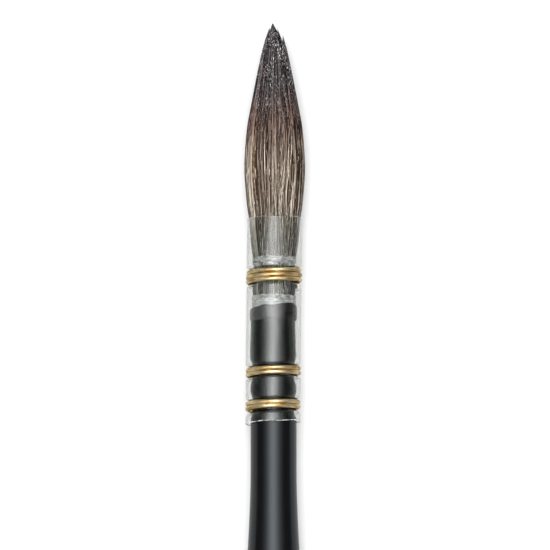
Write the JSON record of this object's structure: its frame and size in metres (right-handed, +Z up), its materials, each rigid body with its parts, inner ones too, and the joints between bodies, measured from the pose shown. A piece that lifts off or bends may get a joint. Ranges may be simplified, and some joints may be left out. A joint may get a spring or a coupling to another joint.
{
  "type": "artist's brush",
  "caption": "Pointed quill mop brush with a soft flexing tuft, clear quill ferrule bound with brass wire, and turned black handle.",
  "frame": {"origin": "on the surface that the brush lies on, below the middle of its length", "axes": "+Y along the brush towards the tip, +Z up from the surface, +X to the right when looking along +Y"},
  "size_m": [0.0104, 0.19, 0.0104],
  "materials": {
    "lacquered_wood": "gloss black lacquer",
    "clear_quill": "clear, glossy",
    "dark_glue": "satin, translucent dark",
    "white_resin": "milky",
    "brush_hair": "soft animal hair, dark at the tip",
    "brass_wire": "bright drawn wire",
    "white_thread": "waxed thread"
  },
  "bodies": {
    "brush": {"handle": "lacquered_wood", "quill_ferrule": "clear_quill", "tenon_collar": "dark_glue", "root_resin": "white_resin", "tuft_root": "brush_hair", "upper_wire_binding": "brass_wire", "middle_wire_binding": "brass_wire", "lower_wire_binding": "brass_wire", "upper_thread_binding": "white_thread", "lower_thread_binding": "white_thread"},
    "tuft_belly": {"tuft_belly": "brush_hair"},
    "tuft_point": {"tuft_point": "brush_hair"}
  },
  "joints": [
    {"name": "belly_flex", "type": "hinge", "parent": "brush", "child": "tuft_belly", "pos_m": [0, 0.0625, 0.0052], "axis": [0, 0, 1], "range_deg": [-18, 18], "stiffness_Nm_per_rad": 0.008},
    {"name": "tip_flex", "type": "hinge", "parent": "tuft_belly", "child": "tuft_point", "pos_m": [0, 0.0765, 0.0052], "axis": [0, 0, 1], "range_deg": [-22, 22]}
  ],
  "couplings": [
    {"joint": "tip_flex", "follows": "belly_flex", "ratio": 1.2222}
  ]
}
